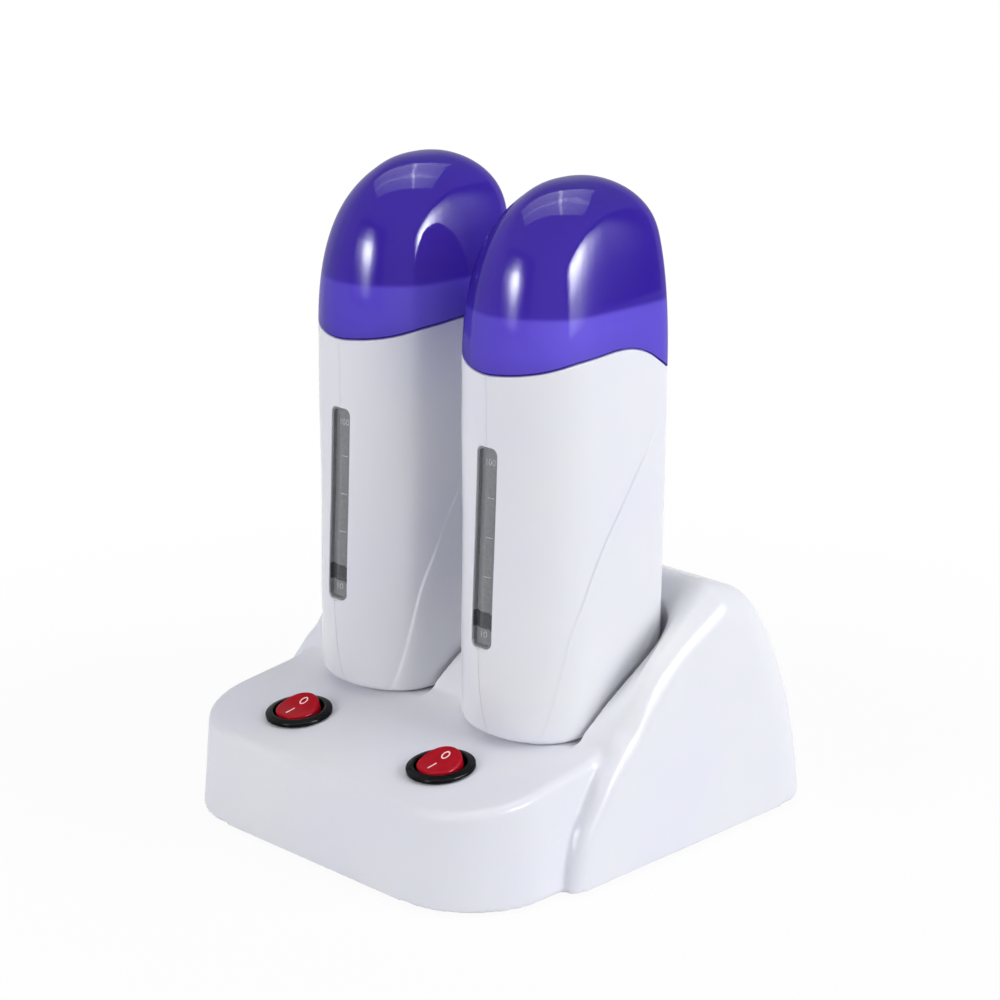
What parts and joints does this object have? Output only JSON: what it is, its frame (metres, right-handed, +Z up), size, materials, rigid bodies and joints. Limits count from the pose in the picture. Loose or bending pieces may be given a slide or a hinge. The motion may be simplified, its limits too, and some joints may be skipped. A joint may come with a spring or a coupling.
{
  "type": "roll on wax heater",
  "caption": "Twin docking base with rocker switches, holding upright cartridge wax heaters under lift-off domed caps with level windows in front",
  "frame": {"origin": "centre of the outline on the surface the feet stand on", "axes": "-Y is the front, with the switches and level windows; +X is the side on the right of a person who faces that front; +Z is up; X 0 is the mirror plane"},
  "size_m": [0.16, 0.1698, 0.2204],
  "materials": {
    "white_abs": "gloss white moulded ABS",
    "white_inner_plastic": "satin white plastic",
    "violet_clear_plastic": "gloss translucent violet blue",
    "clear_window": "clear plastic with a fine grain",
    "black_plastic": "gloss black",
    "red_plastic": "gloss red",
    "drawn_aluminium": "drawn, satin",
    "element_case": "amber insulating film",
    "spring_steel": "bright strip",
    "brass": "turned",
    "zinc_steel": "zinc plated",
    "grey_rubber": "matt",
    "terminal_plastic": "natural nylon"
  },
  "bodies": {
    "base": {"base_shell": "white_abs", "base_plate": "white_inner_plastic", "foot_1": "grey_rubber", "foot_2": "grey_rubber", "foot_3": "grey_rubber", "foot_4": "grey_rubber", "base_screw_1": "zinc_steel", "base_screw_2": "zinc_steel", "base_screw_3": "zinc_steel", "base_screw_4": "zinc_steel", "cord_gland": "black_plastic", "terminal_block": "terminal_plastic", "switch_left_body": "black_plastic", "switch_right_body": "black_plastic", "dock_left_block": "black_plastic", "dock_left_pin_1": "brass", "dock_left_pin_2": "brass", "dock_right_block": "black_plastic", "dock_right_pin_1": "brass", "dock_right_pin_2": "brass"},
    "heater_left": {"heater_left_shell_right_half": "white_abs", "heater_left_shell_left_half": "white_abs", "heater_left_level_window": "clear_window", "heater_left_collar": "white_inner_plastic", "heater_left_heating_well": "drawn_aluminium", "heater_left_ptc_element": "element_case", "heater_left_element_clip": "spring_steel", "heater_left_thermostat": "zinc_steel", "heater_left_contact_socket": "black_plastic"},
    "heater_right": {"heater_right_shell_right_half": "white_abs", "heater_right_shell_left_half": "white_abs", "heater_right_level_window": "clear_window", "heater_right_collar": "white_inner_plastic", "heater_right_heating_well": "drawn_aluminium", "heater_right_ptc_element": "element_case", "heater_right_element_clip": "spring_steel", "heater_right_thermostat": "zinc_steel", "heater_right_contact_socket": "black_plastic"},
    "cap_left": {"heater_left_cap": "violet_clear_plastic"},
    "cap_right": {"heater_right_cap": "violet_clear_plastic"},
    "rocker_left": {"switch_left_rocker": "red_plastic"},
    "rocker_right": {"switch_right_rocker": "red_plastic"}
  },
  "joints": [
    {"name": "heater_left_lift", "type": "slide", "parent": "base", "child": "heater_left", "axis": [0, 0, 1], "range_m": [0, 0.08]},
    {"name": "cap_left_pull", "type": "slide", "parent": "heater_left", "child": "cap_left", "axis": [0, 0, 1], "range_m": [0, 0.06]},
    {"name": "rocker_left_tilt", "type": "hinge", "parent": "base", "child": "rocker_left", "pos_m": [-0.0345, -0.05863, 0.0366], "axis": [-1, 0, 0], "range_deg": [0, 20]},
    {"name": "heater_right_lift", "type": "slide", "parent": "base", "child": "heater_right", "axis": [0, 0, 1], "range_m": [0, 0.08]},
    {"name": "cap_right_pull", "type": "slide", "parent": "heater_right", "child": "cap_right", "axis": [0, 0, 1], "range_m": [0, 0.06]},
    {"name": "rocker_right_tilt", "type": "hinge", "parent": "base", "child": "rocker_right", "pos_m": [0.0345, -0.05863, 0.0366], "axis": [-1, 0, 0], "range_deg": [0, 20]}
  ]
}
